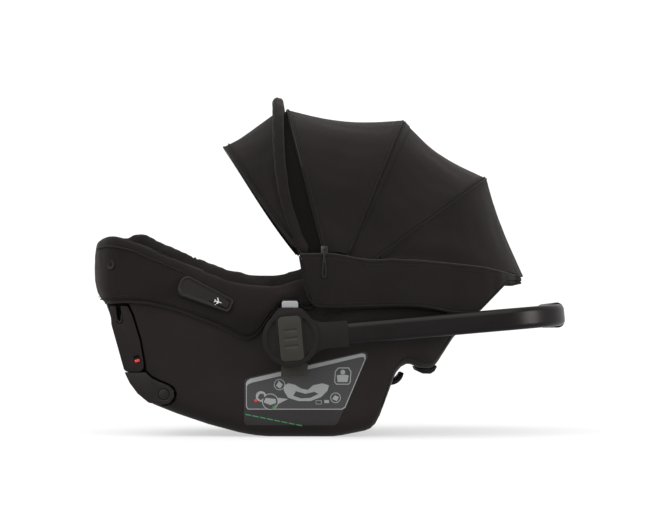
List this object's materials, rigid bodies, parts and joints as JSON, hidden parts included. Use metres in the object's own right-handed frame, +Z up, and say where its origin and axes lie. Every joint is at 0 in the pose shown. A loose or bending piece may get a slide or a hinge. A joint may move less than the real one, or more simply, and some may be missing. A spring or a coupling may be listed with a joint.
{
  "type": "infant car seat",
  "caption": "Infant carrier car seat with a rocker shell, padded harness seat, turning carry handle, folding canopy and swing-out anchor connectors.",
  "frame": {"origin": "on the floor under the centre of the bounding box", "axes": "+X from the foot end to the head end, +Y to the far side across the seat, +Z up"},
  "size_m": [0.7222, 0.442, 0.5297],
  "materials": {
    "shell_plastic": "fine texture",
    "trim_plastic": "satin",
    "foam": "moulded foam, closed cell",
    "cover_fabric": "woven",
    "pad_fabric": "brushed knit",
    "webbing": "narrow woven",
    "mesh_fabric": "open mesh",
    "grey_green": "satin",
    "tube_metal": "black anodised",
    "grip_vinyl": "fine grain",
    "bright_metal": "satin",
    "bow_metal": "drawn",
    "gear_plastic": "moulded",
    "button_silver": "painted silver",
    "red_plastic": "gloss",
    "label_film": "printed film",
    "foot_rubber": "matt"
  },
  "bodies": {
    "carrier": {"shell": "shell_plastic", "foam_liner": "foam", "outer_cover": "cover_fabric", "seat_pad": "pad_fabric", "body_insert": "pad_fabric", "head_support": "pad_fabric", "canopy_boot": "cover_fabric", "rear_stop": "foot_rubber", "rear_belt_hook": "trim_plastic", "belt_guides": "trim_plastic", "side_labels": "label_film", "hub_mounts": "trim_plastic", "adapter_sockets": "grey_green", "shoulder_straps": "webbing", "shoulder_pads": "pad_fabric", "lap_straps": "webbing", "crotch_strap": "webbing", "crotch_pad": "pad_fabric", "chest_clip": "trim_plastic", "buckle_body": "trim_plastic", "buckle_tongues": "bright_metal", "adjuster_strap": "webbing", "adjuster_bezel": "trim_plastic", "harness_yoke": "bright_metal", "hub_bolts": "bright_metal", "canopy_brackets": "trim_plastic", "hub_spring_left": "bright_metal", "hub_spring_right": "bright_metal", "panel_rear": "cover_fabric", "zip_slider": "bright_metal"},
    "handle": {"handle_tube": "tube_metal", "handle_grip": "grip_vinyl", "handle_hubs": "trim_plastic"},
    "hub_lock_left": {"hub_button_left": "grey_green", "lock_gear_left": "gear_plastic"},
    "hub_lock_right": {"hub_button_right": "grey_green", "lock_gear_right": "gear_plastic"},
    "adapter_release_left": {"release_button_left": "button_silver"},
    "adapter_release_right": {"release_button_right": "button_silver"},
    "adapter_catch_left": {"adapter_pawl_left": "gear_plastic"},
    "adapter_catch_right": {"adapter_pawl_right": "gear_plastic"},
    "rear_hoop": {"rear_bow": "bow_metal"},
    "middle_hoop": {"middle_bow": "bow_metal", "panel_middle": "cover_fabric"},
    "front_hoop": {"front_bow": "bow_metal", "front_bow_pad": "cover_fabric", "vent_mesh": "mesh_fabric", "panel_front": "cover_fabric"},
    "visor": {"visor_panel": "cover_fabric", "visor_bow": "bow_metal"},
    "zip_tab": {"zip_pull": "bright_metal"},
    "anchor_frame": {"latch_shaft": "bright_metal", "latch_arms": "trim_plastic", "latch_connectors": "trim_plastic"},
    "anchor_button_left": {"latch_release_left": "red_plastic"},
    "anchor_button_right": {"latch_release_right": "red_plastic"},
    "buckle_press": {"buckle_button": "red_plastic"},
    "adjuster_press": {"adjuster_button": "trim_plastic"}
  },
  "joints": [
    {"name": "handle_turn", "type": "hinge", "parent": "carrier", "child": "handle", "pos_m": [-0.055, 0, 0.15], "axis": [0, -1, 0], "range_deg": [0, 120]},
    {"name": "hub_press_left", "type": "slide", "parent": "handle", "child": "hub_lock_left", "axis": [0, 1, 0], "range_m": [0, 0.004], "stiffness_N_per_m": 900, "springref_m": -0.006, "deforming": ["hub_spring_left"]},
    {"name": "hub_press_right", "type": "slide", "parent": "handle", "child": "hub_lock_right", "axis": [0, -1, 0], "range_m": [0, 0.004], "stiffness_N_per_m": 900, "springref_m": -0.006, "deforming": ["hub_spring_right"]},
    {"name": "adapter_press_left", "type": "slide", "parent": "carrier", "child": "adapter_release_left", "axis": [0, 0, -1], "range_m": [0, 0.003], "stiffness_N_per_m": 800, "springref_m": -0.006},
    {"name": "adapter_press_right", "type": "slide", "parent": "carrier", "child": "adapter_release_right", "axis": [0, 0, -1], "range_m": [0, 0.003], "stiffness_N_per_m": 800, "springref_m": -0.006},
    {"name": "adapter_catch_left_lift", "type": "slide", "parent": "carrier", "child": "adapter_catch_left", "axis": [0, 0, 1], "range_m": [0, 0.003]},
    {"name": "adapter_catch_right_lift", "type": "slide", "parent": "carrier", "child": "adapter_catch_right", "axis": [0, 0, 1], "range_m": [0, 0.003]},
    {"name": "canopy_fold", "type": "hinge", "parent": "carrier", "child": "rear_hoop", "pos_m": [0.01, 0, 0.225], "axis": [0, 1, 0], "range_deg": [0, 24.6], "deforming": ["panel_rear", "panel_middle", "panel_front", "vent_mesh"]},
    {"name": "middle_hoop_fold", "type": "hinge", "parent": "rear_hoop", "child": "middle_hoop", "pos_m": [0.01, 0, 0.225], "axis": [0, 1, 0], "range_deg": [0, 23.1]},
    {"name": "front_hoop_fold", "type": "hinge", "parent": "middle_hoop", "child": "front_hoop", "pos_m": [0.01, 0, 0.225], "axis": [0, 1, 0], "range_deg": [0, 24.3]},
    {"name": "visor_fold", "type": "hinge", "parent": "front_hoop", "child": "visor", "pos_m": [0.01, 0, 0.225], "axis": [0, 1, 0], "range_deg": [0, 7], "deforming": ["visor_panel"]},
    {"name": "zip_tab_swing", "type": "hinge", "parent": "carrier", "child": "zip_tab", "pos_m": [-0.005, -0.1971, 0.283], "axis": [0, 1, 0], "range_deg": [-70, 70]},
    {"name": "anchor_swing", "type": "hinge", "parent": "carrier", "child": "anchor_frame", "pos_m": [-0.249, 0, 0.065], "axis": [0, -1, 0], "range_deg": [0, 48]},
    {"name": "anchor_press_left", "type": "slide", "parent": "anchor_frame", "child": "anchor_button_left", "axis": [-0.287, 0, 0.9579], "range_m": [0, 0.004], "stiffness_N_per_m": 300, "springref_m": -0.003},
    {"name": "anchor_press_right", "type": "slide", "parent": "anchor_frame", "child": "anchor_button_right", "axis": [-0.287, 0, 0.9579], "range_m": [0, 0.004], "stiffness_N_per_m": 300, "springref_m": -0.003},
    {"name": "buckle_push", "type": "slide", "parent": "carrier", "child": "buckle_press", "axis": [0, 0, -1], "range_m": [0, 0.003], "stiffness_N_per_m": 1500, "springref_m": -0.004},
    {"name": "adjuster_push", "type": "slide", "parent": "carrier", "child": "adjuster_press", "axis": [-0.4848, 0, -0.8746], "range_m": [0, 0.0022], "stiffness_N_per_m": 700, "springref_m": -0.004}
  ],
  "couplings": [
    {"joint": "adapter_catch_left_lift", "follows": "adapter_press_left", "ratio": 1},
    {"joint": "adapter_catch_right_lift", "follows": "adapter_press_right", "ratio": 1},
    {"joint": "middle_hoop_fold", "follows": "canopy_fold", "ratio": 0.9389},
    {"joint": "front_hoop_fold", "follows": "canopy_fold", "ratio": 0.9877}
  ]
}
